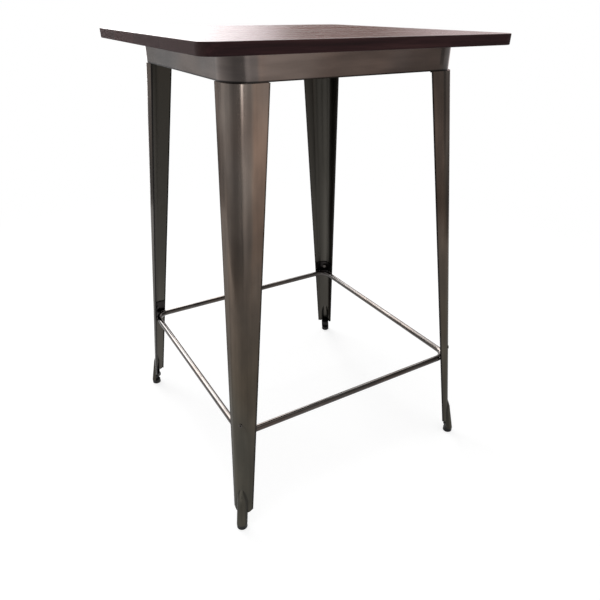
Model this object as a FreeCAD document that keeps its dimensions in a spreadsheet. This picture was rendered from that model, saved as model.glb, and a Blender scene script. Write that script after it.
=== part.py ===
import FreeCAD, Part
import os
import re
import Sketcher

# Bar-height pub table: a glued wooden top on a pressed steel frame with four splayed sheet legs and a
# closed foot rail. Millimetres, +Z up, origin on the floor under the middle of the top, front towards -Y.
# Pieces of the corners are drawn along X and turned onto the diagonals.

SIZES = {
    # Wooden top
    "table_height": 1052,
    "top_side": 670,
    "top_overhang": 72.5,
    "top_thickness": 20,
    "top_corner_radius": 32,
    "top_edge_round": 1.5,
    "board_count": 4,
    "front_board_width": 201,
    # Pressed steel apron
    "apron_height": 47,
    "apron_corner_radius": 60,
    "apron_sheet": 1.5,
    "apron_flange_width": 26,
    "apron_lip_width": 7,
    # Tapered leg: a face is a flat's width up to the sharp corner, the splay is how far the toe stands out
    "leg_sheet": 1.5,
    "leg_lip": 2.6,
    "leg_inset": 1.7,
    "leg_head_drop": 1.2,
    "leg_head_radius": 44,
    "leg_head_face": 74.2,
    "leg_toe_height": 42,
    "leg_splay": 89.8,
    "leg_toe_radius": 26,
    "leg_toe_face": 34.6,
    "leg_toe_slant": 8,
    # Half-round rib that runs out into the foot, which kicks out beyond the leg
    "foot_kick": 30.2,
    "foot_radius": 13,
    "rib_stand": 5.6,
    "rib_depth": 4,
    "rib_crest_height": 93,
    "rib_start_height": 123,
    # Plastic glide in the foot
    "glide_cap_height": 14,
    "glide_edge_bevel": 2,
    "glide_plug_height": 40,
    "glide_tab_height": 12,
    "glide_tab_width": 16,
    "glide_tab_stand": 5,
    # Foot rail and the tabs welded to its bends, which drop below its axis and rise above it
    "rail_height": 271.7,
    "rail_radius": 8,
    "rail_wall": 1.5,
    "rail_bend_radius": 35,
    "rail_drain_radius": 2,
    "tab_sheet": 2.5,
    "tab_drop": 9.7,
    "tab_rise": 37.3,
    # Strap across each corner of the apron
    "brace_sheet": 2.5,
    "brace_height": 22,
    "brace_lift": 5,
    "brace_tab": 24,
    "brace_gap": 5.5,
    # Fasteners
    "bolt_radius": 3,
    "bolt_head_flats": 10,
    "bolt_head_height": 4,
    "washer_radius": 6.2,
    "washer_thickness": 1.2,
    "nut_flats": 10,
    "nut_height": 5,
    "top_screw_radius": 2.2,
    "top_screw_head_radius": 4.5,
    "top_screw_head_height": 2.5,
    "top_screw_depth": 14,
    "top_screw_inset": 15,
    "top_screw_along": 150,
    "rail_bolt_rise": 26.3,
    "rail_bolt_radius": 3,
    "rail_bolt_head_radius": 4.5,
    "rail_bolt_head_height": 1,
    "rail_nut_radius": 5.5,
    "rail_nut_height": 5,
    "rail_nut_seat": 0.9,
    # Clearance between pieces that fit together
    "play": 0.3,
}

CORNERS = {"back_right": 0, "back_left": 90, "front_left": 180, "front_right": 270}
DIAGONAL = 45
TINY = 1e-6


def along_leg(toe, head, height):
    """A leg size at a height of the leg's axis, on the straight taper from toe to head."""
    return f"({toe} + ({head} - {toe}) * ({height} - leg_toe_height) / (head_height - leg_toe_height))"


def leaning_line(toe_offset, head_offset, height):
    """Distance along the diagonal, at a height, of a line at these offsets from the leg's axis."""
    low = f"(axis_toe + {toe_offset} * lean_cos)"
    high = f"(axis_head + {head_offset} * lean_cos)"
    low_height = f"(leg_toe_height + {toe_offset} * lean_sin)"
    high_height = f"(head_height + {head_offset} * lean_sin)"
    return f"({low} + ({high} - {low}) * ({height} - {low_height}) / ({high_height} - {low_height}))"


def leg_corner(height):
    """Distance along the diagonal to the outside of the leg's rounded corner."""
    return leaning_line("leg_toe_radius", "leg_head_radius", height)


# Places that several pieces share, each a formula of the sizes and of places above it
PLACES = {
    "top_half": "top_side / 2",
    "apron_side": "top_side - 2 * top_overhang",
    "apron_top": "table_height - top_thickness",
    "apron_bottom": "apron_top - apron_height",
    "wall_inside": "apron_side / 2 - apron_sheet",
    "board_step": "(top_side - front_board_width) / (board_count - 1)",
    "first_joint": "front_board_width - top_half",
    "screw_line": "apron_side / 2 - top_screw_inset",
    # Reach of the leg's flats from the table's axis: its tongue steps in behind the apron's wall and the nuts
    "head_height": "apron_bottom - leg_head_drop",
    "head_reach": "apron_side / 2 - leg_inset",
    "leg_toe_reach": "head_reach + leg_splay",
    "crown_height": "head_height + leg_head_radius",
    "neck_reach": "wall_inside - nut_height - play",
    "neck_radius": "neck_reach - (apron_side / 2 - apron_corner_radius)",
    "tongue_top": "apron_top - apron_sheet - play",
    "leg_end": "head_reach - leg_head_face",
    "tongue_flat": "neck_reach - neck_radius - leg_end",
    "bolt_along": "leg_end + tongue_flat / 2",
    "bolt_height": "(apron_bottom + tongue_top) / 2",
    "washer_face": "neck_reach - leg_sheet - washer_thickness",
    # Axis of the leg's rounded corner, which leans along the diagonal
    "axis_toe": "(leg_toe_reach - leg_toe_radius) * sqrt(2)",
    "axis_head": "(head_reach - leg_head_radius) * sqrt(2)",
    "axis_neck": "(neck_reach - neck_radius) * sqrt(2)",
    "axis_lean": "atan((axis_toe - axis_head) / (head_height - leg_toe_height)) / 1 deg",
    "lean_cos": "cos(axis_lean)",
    "lean_sin": "sin(axis_lean)",
    # Foot: the rib's axis along the diagonal, from the floor to where it sinks into the leg
    "foot_axis": "axis_toe + foot_kick",
    "crest_axis": f"{leg_corner('rib_crest_height')} + rib_stand - foot_radius",
    "start_axis": f"{leg_corner('rib_start_height')} - leg_sheet - play - foot_radius",
    "foot_slope": "(crest_axis - foot_axis) / (rib_crest_height - glide_cap_height)",
    "plug_axis": "foot_axis + foot_slope * (glide_plug_height - glide_cap_height)",
    "plug_radius": "foot_radius - leg_sheet - play",
    # Foot rail, with the tab between it and the leg
    "tab_bottom": "rail_height - tab_drop",
    "tab_top": "rail_height + tab_rise",
    "tab_back": "leg_sheet + 2 * play",
    "tab_front": "tab_back + tab_sheet",
    "rail_leg_radius": along_leg("leg_toe_radius", "leg_head_radius", "rail_height"),
    "rail_leg_flat": leaning_line("(leg_toe_radius / sqrt(2))", "(leg_head_radius / sqrt(2))", "rail_height"),
    "rail_leg_reach": "(rail_leg_flat + rail_leg_radius / sqrt(2)) / sqrt(2)",
    "rail_half": "rail_leg_reach - tab_front - play - rail_radius",
    # Rail bolt, square to the leg's corner
    "rail_bolt_height": "rail_height + rail_bolt_rise",
    "rail_bolt_corner": leg_corner("rail_bolt_height"),
    "corner_slope": f"({leg_corner('tab_bottom')} - {leg_corner('tab_top')}) / (tab_top - tab_bottom)",
    "corner_cos": "1 / sqrt(1 + corner_slope ^ 2)",
    "corner_sin": "corner_slope * corner_cos",
    "rail_nut_face": "tab_front + rail_nut_seat",
    "rail_bolt_end": "rail_nut_face + rail_nut_height + play",
    "rail_hole_radius": "rail_bolt_radius + play",
    # Corner brace
    "brace_tip": "leg_end - brace_gap",
    "brace_fold": "brace_tip - brace_tab",
}


doc = FreeCAD.newDocument("PubTable")
sheet = doc.addObject("Spreadsheet::Sheet", "Sizes")
for row, (name, number) in enumerate(SIZES.items(), start=1):
    sheet.set(f"A{row}", name)
    sheet.set(f"B{row}", str(number))
    sheet.setAlias(f"B{row}", name)
doc.recompute()


def formula(text):
    """Point each name in a formula at its cell in the sheet or at its shared place."""
    def owner(word):
        if word[0] in SIZES:
            return f"Sizes.{word[0]}"
        return f"Places.{word[0]}" if word[0] in PLACES else word[0]
    return re.sub(r"[a-z][a-z_]*", owner, text)


places = doc.addObject("App::VarSet", "Places")
for name, text in PLACES.items():
    places.addProperty("App::PropertyFloat", name)
    places.setExpression(name, formula(text))
doc.recompute()


def measure(text):
    """Work a formula out to a number, for the first drawing of a sketch."""
    return float(sheet.evalExpression(formula(text)))


def new_body(label, turn=0):
    body = doc.addObject("PartDesign::Body", label)
    body.Label = label
    body.AllowCompound = True
    body.Placement = FreeCAD.Placement(FreeCAD.Vector(), FreeCAD.Rotation(FreeCAD.Vector(0, 0, 1), turn))
    return body


def origin_feature(body, role):
    return next(item for item in body.Origin.OriginFeatures if item.Role == role)


def new_sketch(body, name, lift, plane="XY_Plane", turn=0):
    """A sketch parallel to an origin plane, lifted along its normal and turned about its own Y."""
    sketch = body.newObject("Sketcher::SketchObject", name)
    sketch.AttachmentSupport = [(origin_feature(body, plane), "")]
    sketch.MapMode = "FlatFace"
    base = FreeCAD.Vector(0, 0, measure(lift))
    sketch.AttachmentOffset = FreeCAD.Placement(base, FreeCAD.Rotation(FreeCAD.Vector(0, 1, 0), turn))
    sketch.setExpression("AttachmentOffset.Base.z", formula(lift))
    return sketch


def leg_sketch(body, name, height, across, lean):
    """A sketch centred on the leg's axis at a height, square to an axis that leans in by this angle."""
    sketch = new_sketch(body, name, height)
    base = FreeCAD.Vector(measure(across), 0, measure(height))
    turn = FreeCAD.Rotation(FreeCAD.Vector(0, -1, 0), measure(lean))
    sketch.AttachmentOffset = FreeCAD.Placement(base, turn)
    sketch.setExpression("AttachmentOffset.Base.x", formula(across))
    if lean != "0":
        sketch.setExpression("AttachmentOffset.Rotation.Angle", formula(lean))
    return sketch


def hold(sketch, kind, places, text):
    """Fix one coordinate or radius of a sketch to a formula."""
    number = sketch.addConstraint(Sketcher.Constraint(kind, *places, measure(text)))
    sketch.setExpression(f"Constraints[{number}]", formula(text))


def arc_between(start, end, radius):
    """The counter-clockwise arc from start to end, at most a half turn."""
    chord = end - start
    square = FreeCAD.Vector(-chord.y, chord.x, 0).normalize()
    rise = max(radius ** 2 - chord.Length ** 2 / 4, 0) ** 0.5
    centre = (start + end) * 0.5 + square * rise
    first = (start - centre).getAngle(FreeCAD.Vector(1, 0, 0))
    if start.y < centre.y:
        first = -first
    sweep = (start - centre).getAngle(end - centre)
    return Part.ArcOfCircle(Part.Circle(centre, FreeCAD.Vector(0, 0, 1), radius), first, first + sweep)


def outline(sketch, corners):
    """Draw a closed outline counter-clockwise. A corner (x, y) starts a straight edge, (x, y, radius) an arc
    that bulges out and (x, y, radius, "hollow") an arc that bulges in."""
    spots = [FreeCAD.Vector(measure(corner[0]), measure(corner[1]), 0) for corner in corners]
    edges = []
    for corner, start, end in zip(corners, spots, spots[1:] + spots[:1]):
        if len(corner) == 2:
            edges.append((sketch.addGeometry(Part.LineSegment(start, end)), 1, 2))
        elif len(corner) == 3:
            edges.append((sketch.addGeometry(arc_between(start, end, measure(corner[2]))), 1, 2))
        else:
            edges.append((sketch.addGeometry(arc_between(end, start, measure(corner[2]))), 2, 1))
    for corner, (edge, start, end), following in zip(corners, edges, edges[1:] + edges[:1]):
        sketch.addConstraint(Sketcher.Constraint("Coincident", edge, end, following[0], following[1]))
        hold(sketch, "DistanceX", (-1, 1, edge, start), corner[0])
        hold(sketch, "DistanceY", (-1, 1, edge, start), corner[1])
        if len(corner) > 2:
            hold(sketch, "Radius", (edge,), corner[2])


def circle(sketch, x, y, radius):
    centre = FreeCAD.Vector(measure(x), measure(y), 0)
    edge = sketch.addGeometry(Part.Circle(centre, FreeCAD.Vector(0, 0, 1), measure(radius)))
    hold(sketch, "DistanceX", (-1, 1, edge, 3), x)
    hold(sketch, "DistanceY", (-1, 1, edge, 3), y)
    hold(sketch, "Radius", (edge,), radius)


def hexagon(sketch, x, y, flats):
    wide = f"{flats} / sqrt(3)"
    near = f"{flats} / sqrt(12)"
    tall = f"{flats} / 2"
    outline(sketch, [
        (f"{x} + {wide}", y),
        (f"{x} + {near}", f"{y} + {tall}"),
        (f"{x} - {near}", f"{y} + {tall}"),
        (f"{x} - {wide}", y),
        (f"{x} - {near}", f"{y} - {tall}"),
        (f"{x} + {near}", f"{y} - {tall}"),
    ])


def rectangle(sketch, left, right, low, high):
    outline(sketch, [(right, low), (right, high), (left, high), (left, low)])


def rounded_square(sketch, half, radius):
    flat = f"({half} - {radius})"
    outline(sketch, [
        (half, f"-{flat}"),
        (half, flat, radius),
        (flat, half),
        (f"-{flat}", half, radius),
        (f"-{half}", flat),
        (f"-{half}", f"-{flat}", radius),
        (f"-{flat}", f"-{half}"),
        (flat, f"-{half}", radius),
    ])


def pad(body, name, sketch, length):
    item = body.newObject("PartDesign::Pad", name)
    item.Profile = sketch
    item.setExpression("Length", formula(length))
    return item


def pocket(body, name, sketch, length=None, along_normal=False):
    """Cut against the sketch's normal, or along it, to a length or right through."""
    item = body.newObject("PartDesign::Pocket", name)
    item.Profile = sketch
    item.Reversed = along_normal
    if length is None:
        item.Type = "ThroughAll"
    else:
        item.setExpression("Length", formula(length))
    return item


def loft(body, kind, name, sketches):
    item = body.newObject(f"PartDesign::{kind}", name)
    item.Profile = sketches[0]
    item.Sections = sketches[1:]
    item.Ruled = True
    return item


def four_sides(body, originals):
    """Repeat features on all four sides of the table."""
    pattern = body.newObject("PartDesign::PolarPattern", "FourSides")
    pattern.Originals = originals
    pattern.Axis = (origin_feature(body, "Z_Axis"), [""])
    pattern.Angle = 360
    pattern.Occurrences = len(CORNERS)
    body.Tip = pattern


def board_outline(sketch, front, back, is_first, is_last):
    """A board's plan. The first and last boards carry the rounded corners of the top."""
    flat = "(top_half - top_corner_radius)"
    front_end = [("-top_half", front), ("top_half", front)]
    back_end = [("top_half", back), ("-top_half", back)]
    if is_first:
        front_end = [
            ("-top_half", f"-{flat}", "top_corner_radius"),
            (f"-{flat}", front),
            (flat, front, "top_corner_radius"),
            ("top_half", f"-{flat}"),
        ]
    if is_last:
        back_end = [
            ("top_half", flat, "top_corner_radius"),
            (flat, back),
            (f"-{flat}", back, "top_corner_radius"),
            ("-top_half", flat),
        ]
    outline(sketch, front_end + back_end)


def joint(number):
    """Where a glue line of the top lies, counted from the front."""
    return f"(first_joint + {number - 1} * board_step)"


def top_screw_places(count):
    """Two screws into the front board, two into the back board and one into each end of every other board."""
    spots = []
    for side in ("", "-"):
        spots.append(("top_screw_along", f"{side}screw_line"))
        spots.append(("-top_screw_along", f"{side}screw_line"))
        for number in range(1, count - 1):
            spots.append((f"{side}screw_line", f"({joint(number)} + {joint(number + 1)}) / 2"))
    return spots


def make_board(number, count):
    label = f"top_board_{number + 1}"
    body = new_body(label)
    is_first = number == 0
    is_last = number == count - 1
    front = "-top_half" if is_first else joint(number)
    back = "top_half" if is_last else joint(number + 1)
    sketch = new_sketch(body, f"{label}_plan", "apron_top")
    board_outline(sketch, front, back, is_first, is_last)
    board = pad(body, f"{label}_thickness", sketch, "top_thickness")
    doc.recompute()

    joints = [measure(place) for place in (front, back) if place not in ("top_half", "-top_half")]
    rounded = []
    for index, edge in enumerate(board.Shape.Edges, start=1):
        ends = [vertex.Point for vertex in edge.Vertexes]
        is_level = abs(ends[0].z - ends[1].z) < TINY
        on_joint = any(all(abs(end.y - place) < TINY for end in ends) for place in joints)
        if is_level and not on_joint:
            rounded.append(f"Edge{index}")
    fillet = body.newObject("PartDesign::Fillet", f"{label}_eased_edges")
    fillet.Base = (board, rounded)
    fillet.setExpression("Radius", formula("top_edge_round"))

    holes = new_sketch(body, f"{label}_holes", "apron_top")
    for x, y in top_screw_places(count):
        circle(holes, x, y, "top_screw_radius + play")
    pocket(body, f"{label}_pilot_holes", holes, "top_screw_depth + play", along_normal=True)
    return body


def make_apron(count):
    body = new_body("apron")
    wall = new_sketch(body, "apron_wall_plan", "apron_bottom")
    rounded_square(wall, "(apron_side / 2)", "apron_corner_radius")
    rounded_square(wall, "wall_inside", "(apron_corner_radius - apron_sheet)")
    pad(body, "apron_wall", wall, "apron_height")

    flange = new_sketch(body, "apron_flange_plan", "apron_top - apron_sheet")
    rounded_square(flange, "(apron_side / 2)", "apron_corner_radius")
    flange_edge = "(apron_side / 2 - apron_flange_width)"
    rounded_square(flange, flange_edge, "(apron_corner_radius - apron_flange_width)")
    pad(body, "apron_flange", flange, "apron_sheet")

    lip = new_sketch(body, "apron_lip_plan", "apron_bottom")
    lip_end = "(leg_end - apron_sheet)"
    rectangle(lip, "apron_side / 2 - apron_lip_width", "apron_side / 2", f"-{lip_end}", lip_end)
    lip_pad = pad(body, "apron_lip", lip, "apron_sheet")
    four_sides(body, [lip_pad])

    holes = new_sketch(body, "apron_holes_plan", "apron_top")
    for x, y in top_screw_places(count):
        circle(holes, x, y, "top_screw_radius + play")
    pocket(body, "apron_holes", holes, "apron_sheet")
    return body


def leg_outline(sketch, radius, face):
    """Outside of the leg's section: two flats at a right angle round a corner, each with a lip turned in."""
    half = f"({face} / sqrt(2))"
    tangent = f"({radius} / sqrt(2))"
    end = f"({radius} * sqrt(2) - {half})"
    lip = "(leg_lip / sqrt(2))"
    outline(sketch, [
        (end, f"-{half}"),
        (tangent, f"-{tangent}", radius),
        (tangent, tangent),
        (end, half),
        (f"{end} - {lip}", f"{half} - {lip}"),
        (f"{end} - {lip}", f"{lip} - {half}"),
    ])


def leg_hollow(sketch, radius, face):
    """Inside of the leg's section, one sheet in from the outside, open past the lips and the rib's back."""
    half = f"({face} / sqrt(2) - leg_sheet * sqrt(2))"
    tangent = f"(({radius} - leg_sheet) / sqrt(2))"
    end = f"({radius} * sqrt(2) - {face} / sqrt(2))"
    lip = "(leg_lip * sqrt(2))"
    outline(sketch, [
        (end, f"-{half}"),
        (tangent, f"-{tangent}", f"({radius} - leg_sheet)"),
        (tangent, tangent),
        (end, half),
        (f"{end} - {lip}", f"{half} - {lip}"),
        (f"{end} - {lip} - rib_depth", f"{half} - {lip}"),
        (f"{end} - {lip} - rib_depth", f"{lip} - {half}"),
        (f"{end} - {lip}", f"{lip} - {half}"),
    ])


def bent_plate(sketch, back, front):
    """Section of a plate bent round the leg's corner. Each skin is its centre, radius and length of flat."""
    skins = []
    for centre, radius, flat in (back, front):
        tangent = f"({centre} + {radius} / sqrt(2))", f"({radius} / sqrt(2))"
        end = f"({centre} + ({radius} - {flat}) / sqrt(2))", f"(({radius} + {flat}) / sqrt(2))"
        skins.append((tangent, end))
    (back_tangent, back_end), (front_tangent, front_end) = skins
    outline(sketch, [
        (back_end[0], f"-{back_end[1]}"),
        (back_tangent[0], f"-{back_tangent[1]}", back[1]),
        back_tangent,
        back_end,
        front_end,
        (*front_tangent, front[1], "hollow"),
        (front_tangent[0], f"-{front_tangent[1]}"),
        (front_end[0], f"-{front_end[1]}"),
    ])


def rib_outline(sketch, axis, radius, depth):
    """Half-round section, straight-sided towards the table's axis."""
    back = f"({axis} - {depth})"
    outline(sketch, [
        (back, f"-{radius}"),
        (axis, f"-{radius}", radius),
        (f"{axis} + {radius}", "0", radius),
        (axis, radius),
        (back, radius),
    ])


def rib_sketches(body, name, stations, radius, depth):
    sketches = []
    for number, (height, axis) in enumerate(stations):
        sketch = new_sketch(body, f"{name}_{number}", height)
        rib_outline(sketch, axis, radius, depth)
        sketches.append(sketch)
    return sketches


def make_leg(corner, turn):
    """Pressed sheet leg: tapered corner section, tongue stepped in at its head, rib that becomes the foot."""
    label = f"leg_{corner}"
    body = new_body(label, turn)
    outsides = []
    hollows = []
    for number, height in enumerate(("leg_toe_height", "crown_height")):
        across = along_leg("axis_toe", "axis_head", height)
        radius = along_leg("leg_toe_radius", "leg_head_radius", height)
        face = along_leg("leg_toe_face", "leg_head_face", height)
        outside = leg_sketch(body, f"{label}_outside_{number}", height, across, "axis_lean")
        leg_outline(outside, radius, face)
        outsides.append(outside)
        hollow = leg_sketch(body, f"{label}_hollow_{number}", height, across, "axis_lean")
        leg_hollow(hollow, radius, face)
        hollows.append(hollow)
    rib_stations = [
        ("glide_cap_height", "foot_axis"),
        ("rib_crest_height", "crest_axis"),
        ("rib_start_height", "start_axis"),
    ]
    loft(body, "AdditiveLoft", f"{label}_blank", outsides)
    ribs = rib_sketches(body, f"{label}_rib", rib_stations, "foot_radius", "rib_depth")
    loft(body, "AdditiveLoft", f"{label}_rib_form", ribs)
    loft(body, "SubtractiveLoft", f"{label}_inside", hollows)
    bores = rib_sketches(body, f"{label}_bore", rib_stations, "(foot_radius - leg_sheet)", "(2 * rib_depth)")
    loft(body, "SubtractiveLoft", f"{label}_rib_inside", bores)

    above = new_sketch(body, f"{label}_head_plan", "head_height")
    rectangle(above, "0", "2 * axis_head", "-axis_head", "axis_head")
    pocket(body, f"{label}_head_cut", above, along_normal=True)
    tongue_back = ("0", "neck_radius", "tongue_flat")
    tongue_front = ("0", "(neck_radius - leg_sheet)", "tongue_flat")
    step_flat = "(leg_head_face - leg_head_radius - leg_sheet)"
    step_edge = ("(axis_head - axis_neck)", "(leg_head_radius - leg_sheet / 2)", step_flat)
    for name, back, length in (
        ("step", step_edge, "leg_sheet"),
        ("tongue", tongue_back, "leg_sheet + tongue_top - head_height"),
    ):
        plan = leg_sketch(body, f"{label}_{name}_plan", "head_height - leg_sheet", "axis_neck", "0")
        bent_plate(plan, back, tongue_front)
        pad(body, f"{label}_{name}", plan, length)

    toes = new_sketch(body, f"{label}_toe_profile", "0", "YZ_Plane")
    far = "(foot_radius + 2 * (leg_toe_face / sqrt(2) - foot_radius))"
    for side in ("", "-"):
        outline(toes, [
            (f"{side}foot_radius", "leg_toe_height"),
            (f"{side}{far}", "leg_toe_height"),
            (f"{side}{far}", "leg_toe_height + 2 * leg_toe_slant"),
        ])
    pocket(body, f"{label}_toe_cut", toes, along_normal=True)

    for number, (side, angle) in enumerate((("", -DIAGONAL), ("-", DIAGONAL))):
        hole = new_sketch(body, f"{label}_hole_{number}", "0", "YZ_Plane", angle)
        circle(hole, f"{side}bolt_along", "bolt_height", "bolt_radius + play")
        pocket(body, f"{label}_bolt_hole_{number}", hole, along_normal=True)
    turned(body, "Groove", f"{label}_rail_hole", bar("-2 * leg_sheet", "2 * leg_sheet", "rail_hole_radius"))
    return body


def make_glide(corner, turn):
    """Plastic glide: round cap on the floor, plug up the open foot and a snap tab on its inner side."""
    label = f"foot_glide_{corner}"
    body = new_body(label, turn)
    cap = new_sketch(body, f"{label}_cap_plan", "0")
    circle(cap, "foot_axis", "0", "foot_radius")
    cap_pad = pad(body, f"{label}_cap", cap, "glide_cap_height")
    doc.recompute()
    lowest = [
        f"Edge{index}" for index, edge in enumerate(cap_pad.Shape.Edges, start=1) if edge.BoundBox.ZMax < TINY
    ]
    bevel = body.newObject("PartDesign::Chamfer", f"{label}_cap_bevel")
    bevel.Base = (cap_pad, lowest)
    bevel.setExpression("Size", formula("glide_edge_bevel"))

    stations = [("glide_cap_height", "foot_axis"), ("glide_plug_height", "plug_axis")]
    plugs = rib_sketches(body, f"{label}_plug", stations, "plug_radius", "rib_depth")
    loft(body, "AdditiveLoft", f"{label}_plug_form", plugs)
    tab = new_sketch(body, f"{label}_tab_plan", "glide_plug_height - glide_tab_height")
    inner = "plug_axis - rib_depth - glide_tab_stand"
    rectangle(tab, inner, "plug_axis", "-glide_tab_width / 2", "glide_tab_width / 2")
    pad(body, f"{label}_tab", tab, "glide_tab_height")
    return body


def lean_place(out, up):
    """A place in the upright plane of the diagonal, measured square to the leaning corner of the leg
    and along it, from the corner at the rail bolt's height."""
    x = f"rail_bolt_corner + ({out}) * corner_cos - ({up}) * corner_sin"
    y = f"rail_bolt_height + ({out}) * corner_sin + ({up}) * corner_cos"
    return x, y


def bar(start, end, radius):
    """Half section of a plain round bar on the rail bolt's axis."""
    return [(start, "0"), (end, "0"), (end, radius), (start, radius)]


def turned(body, kind, name, section):
    """Turn a half section round the rail bolt's axis, to add it or cut it."""
    sketch = new_sketch(body, f"{name}_section", "0", "XZ_Plane")
    outline(sketch, [lean_place(*place[:2]) + tuple(place[2:]) for place in section])
    ends = [lean_place("0", "0"), lean_place("rail_bolt_radius", "0")]
    spots = [FreeCAD.Vector(measure(x), measure(y), 0) for x, y in ends]
    axis = sketch.addGeometry(Part.LineSegment(*spots), True)
    for spot, (x, y) in enumerate(ends, start=1):
        hold(sketch, "DistanceX", (-1, 1, axis, spot), x)
        hold(sketch, "DistanceY", (-1, 1, axis, spot), y)
    item = body.newObject(f"PartDesign::{kind}", name)
    item.Profile = sketch
    item.ReferenceAxis = (sketch, ["Axis0"])
    item.Angle = 360
    return item


def make_rail():
    """Closed foot rail: one round tube bent round inside the four legs, with a drain hole in each side."""
    body = new_body("foot_rail")
    path = new_sketch(body, "rail_path", "rail_height")
    rounded_square(path, "rail_half", "rail_bend_radius")
    for kind, name, radius in (
        ("AdditivePipe", "rail_tube", "rail_radius"),
        ("SubtractivePipe", "rail_bore", "rail_radius - rail_wall"),
    ):
        section = new_sketch(body, f"{name}_section", "rail_half - rail_bend_radius", "XZ_Plane")
        circle(section, "rail_half", "rail_height", radius)
        tube = body.newObject(f"PartDesign::{kind}", name)
        tube.Profile = section
        tube.Spine = path
    drain = new_sketch(body, "rail_drain_plan", "rail_height - rail_radius")
    circle(drain, "rail_half", "0", "rail_drain_radius")
    four_sides(body, [pocket(body, "rail_drain", drain, "rail_radius", along_normal=True)])
    return body


def make_tab(corner, turn):
    """Bent plate welded to the rail's bend, nested in the leg's corner behind its lips."""
    label = f"rail_tab_{corner}"
    body = new_body(label, turn)
    sections = []
    for number, height in enumerate(("tab_bottom", "tab_top")):
        across = along_leg("axis_toe", "axis_head", height)
        radius = along_leg("leg_toe_radius", "leg_head_radius", height)
        face = along_leg("leg_toe_face", "leg_head_face", height)
        flat = f"({face} - {radius} - leg_sheet - play)"
        sketch = leg_sketch(body, f"{label}_section_{number}", height, across, "axis_lean")
        bent_plate(sketch, ("0", f"({radius} - tab_back)", flat), ("0", f"({radius} - tab_front)", flat))
        sections.append(sketch)
    loft(body, "AdditiveLoft", f"{label}_plate", sections)
    turned(body, "Groove", f"{label}_hole", bar("-(tab_front + leg_sheet)", "0", "rail_hole_radius"))
    return body


def make_brace(corner, turn):
    """Folded strap across the apron's corner, behind the leg, with a welded tab on each wall."""
    label = f"corner_brace_{corner}"
    body = new_body(label, turn)
    plan = new_sketch(body, f"{label}_plan", "apron_bottom + brace_lift")
    inside = "(wall_inside - brace_sheet)"
    inner_fold = "(brace_fold + brace_sheet * (sqrt(2) + 1))"
    outline(plan, [
        ("wall_inside", "brace_fold"),
        ("wall_inside", "brace_tip"),
        (inside, "brace_tip"),
        (inside, inner_fold),
        (inner_fold, inside),
        ("brace_tip", inside),
        ("brace_tip", "wall_inside"),
        ("brace_fold", "wall_inside"),
    ])
    pad(body, f"{label}_strap", plan, "brace_height")
    return body


def make_leg_hardware():
    """Bolts, washers and weld nuts that hold the leg tongues to the apron, two on each wall."""
    ends = ("bolt_along", "-bolt_along")

    bolts = new_body("leg_bolts")
    heads = new_sketch(bolts, "bolt_heads_plan", "washer_face - bolt_head_height", "YZ_Plane")
    shanks = new_sketch(bolts, "bolt_shanks_plan", "washer_face", "YZ_Plane")
    for along in ends:
        hexagon(heads, along, "bolt_height", "bolt_head_flats")
        circle(shanks, along, "bolt_height", "bolt_radius")
    head_pad = pad(bolts, "bolt_heads", heads, "bolt_head_height")
    shank_pad = pad(bolts, "bolt_shanks", shanks, "wall_inside - play - washer_face")
    four_sides(bolts, [head_pad, shank_pad])

    washers = new_body("leg_washers")
    rings = new_sketch(washers, "washers_plan", "washer_face", "YZ_Plane")
    for along in ends:
        circle(rings, along, "bolt_height", "washer_radius")
        circle(rings, along, "bolt_height", "bolt_radius + play")
    four_sides(washers, [pad(washers, "washers", rings, "washer_thickness")])

    nuts = new_body("leg_nuts")
    blanks = new_sketch(nuts, "nuts_plan", "wall_inside - nut_height", "YZ_Plane")
    for along in ends:
        hexagon(blanks, along, "bolt_height", "nut_flats")
        circle(blanks, along, "bolt_height", "bolt_radius + play")
    four_sides(nuts, [pad(nuts, "nuts", blanks, "nut_height")])
    return [bolts, washers, nuts]


def make_top_screws(count):
    """Wood screws up through the apron's flange into the boards."""
    body = new_body("top_screws")
    flange_face = "(apron_top - apron_sheet)"
    heads = new_sketch(body, "top_screw_heads_plan", f"{flange_face} - top_screw_head_height")
    shanks = new_sketch(body, "top_screw_shanks_plan", flange_face)
    for x, y in top_screw_places(count):
        circle(heads, x, y, "top_screw_head_radius")
        circle(shanks, x, y, "top_screw_radius")
    pad(body, "top_screw_heads", heads, "top_screw_head_height")
    pad(body, "top_screw_shanks", shanks, "apron_sheet + top_screw_depth")
    return body


def make_rail_hardware():
    """A flat-headed bolt through each leg's corner and rail tab, with a round nut behind the tab."""
    bolts = new_body("rail_bolts", DIAGONAL)
    crown = "(play + rail_bolt_head_height)"
    bolt = turned(bolts, "Revolution", "rail_bolt", [
        ("-rail_bolt_end", "0"),
        (crown, "0"),
        (crown, "rail_bolt_head_radius"),
        ("play", "rail_bolt_head_radius"),
        ("play", "rail_bolt_radius"),
        ("-rail_bolt_end", "rail_bolt_radius"),
    ])
    four_sides(bolts, [bolt])

    nuts = new_body("rail_nuts", DIAGONAL)
    far = "-(rail_nut_face + rail_nut_height)"
    blank = turned(nuts, "Revolution", "rail_nut", bar(far, "-rail_nut_face", "rail_nut_radius"))
    bore = turned(nuts, "Groove", "rail_nut_bore", bar(far, "-rail_nut_face", "rail_hole_radius"))
    four_sides(nuts, [blank, bore])
    return [bolts, nuts]


def check(pieces):
    """Stop if any object failed to compute or any piece isn't a sound solid."""
    failed = [item.Name for item in doc.Objects if {"Invalid", "Error"} & set(item.State)]
    if failed:
        raise RuntimeError(f"failed objects: {failed}")
    for piece in pieces:
        if piece.Shape.isNull() or not piece.Shape.isValid() or not piece.Shape.Solids:
            raise RuntimeError(f"unsound piece: {piece.Label}")


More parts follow.
